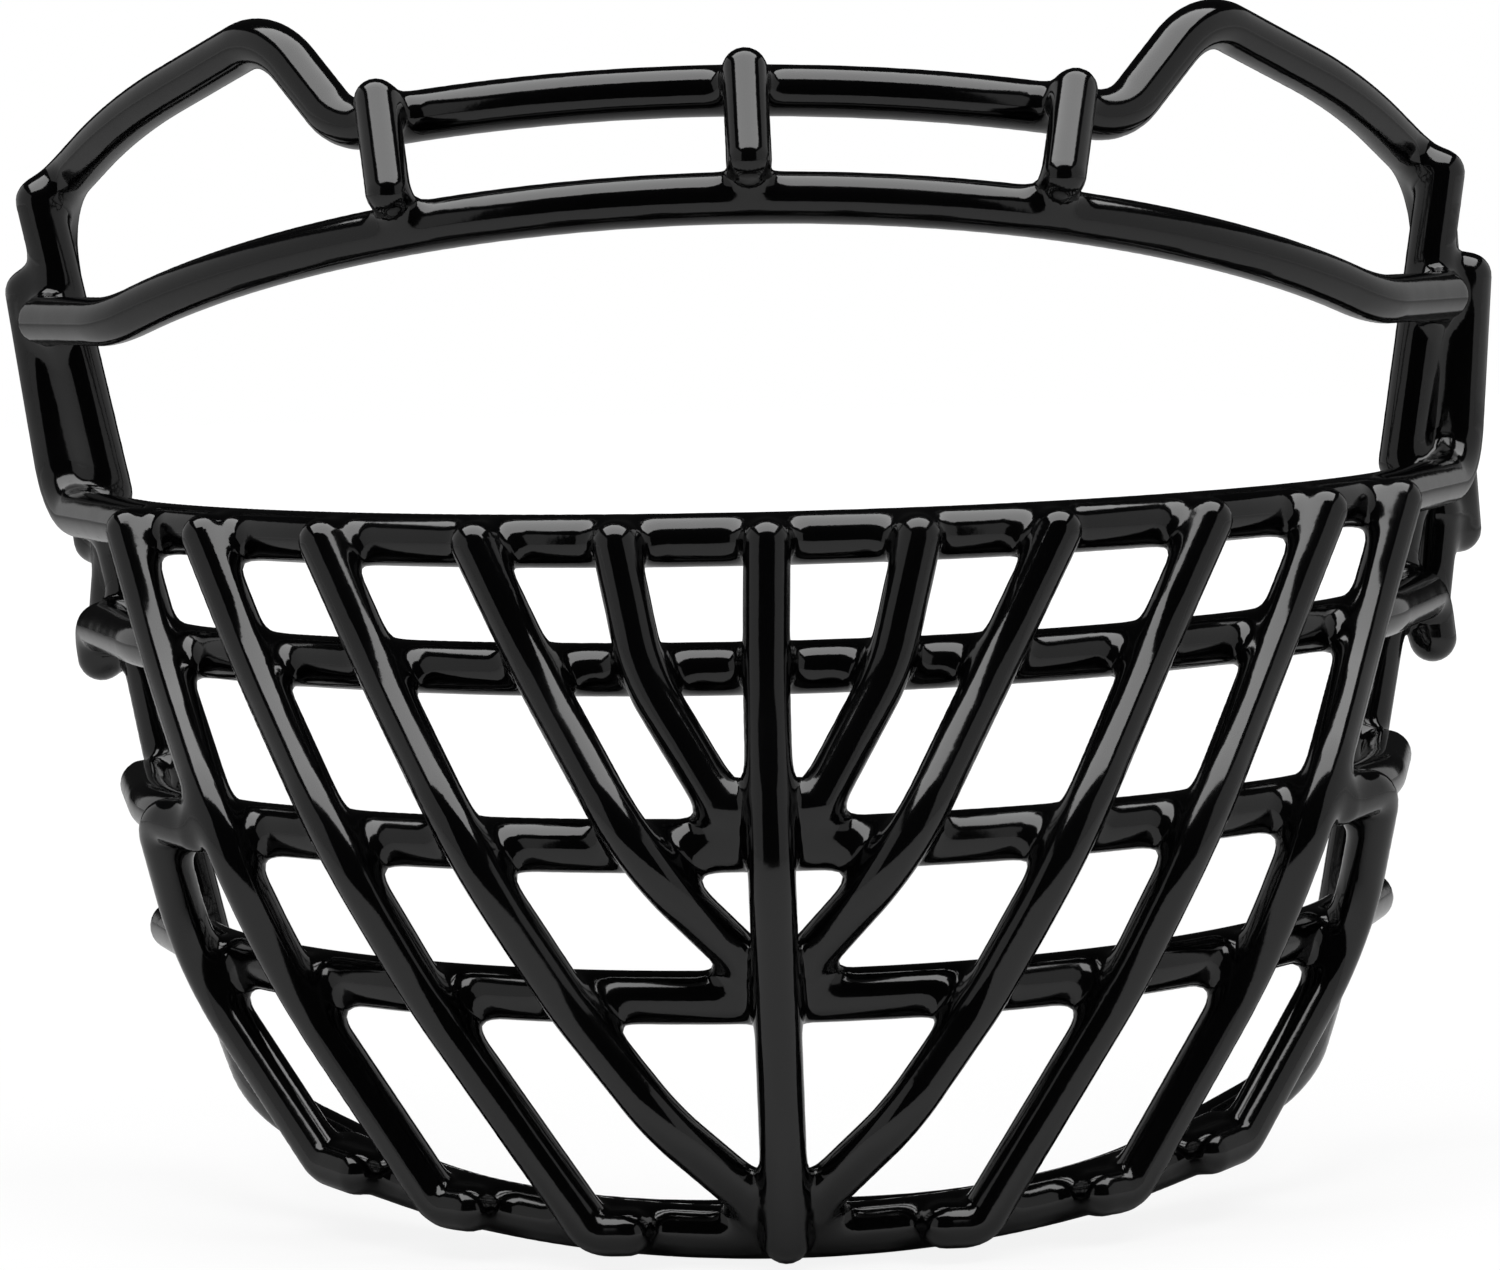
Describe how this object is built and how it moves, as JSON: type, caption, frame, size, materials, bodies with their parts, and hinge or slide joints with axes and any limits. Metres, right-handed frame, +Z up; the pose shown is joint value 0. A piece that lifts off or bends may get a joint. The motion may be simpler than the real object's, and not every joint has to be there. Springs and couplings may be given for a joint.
{
  "type": "football helmet face guard",
  "caption": "Black coated wire face guard for a football helmet: bent hoops round the jaw, bars fanning to the chin, an open eye band and a double brow bar.",
  "frame": {"origin": "Middle plane of the guard, on the centreline of the lower brow bar, where clips hold the guard to the helmet", "axes": "+X to the right as seen from in front of the wearer, +Y from the front of the guard back to the wearer's face, +Z up"},
  "size_m": [0.2514, 0.1444, 0.1887],
  "materials": {
    "black_coat": "gloss"
  },
  "bodies": {
    "root": {"upper_brow_bar": "black_coat", "lower_brow_bar": "black_coat", "brow_post_left": "black_coat", "brow_post_middle": "black_coat", "brow_post_right": "black_coat", "front_upright_left": "black_coat", "front_upright_right": "black_coat", "hoop_1": "black_coat", "hoop_2": "black_coat", "hoop_3": "black_coat", "hoop_4": "black_coat", "hoop_5": "black_coat", "rear_post_left": "black_coat", "rear_post_right": "black_coat", "jaw_wire": "black_coat", "centre_bar": "black_coat", "fan_bar_1_left": "black_coat", "fan_bar_1_right": "black_coat", "fan_bar_2_left": "black_coat", "fan_bar_2_right": "black_coat", "fan_bar_3_left": "black_coat", "fan_bar_3_right": "black_coat", "fan_bar_4_left": "black_coat", "fan_bar_4_right": "black_coat", "fan_bar_5_left": "black_coat", "fan_bar_5_right": "black_coat", "side_bar_left": "black_coat", "side_bar_right": "black_coat"}
  },
  "joints": []
}
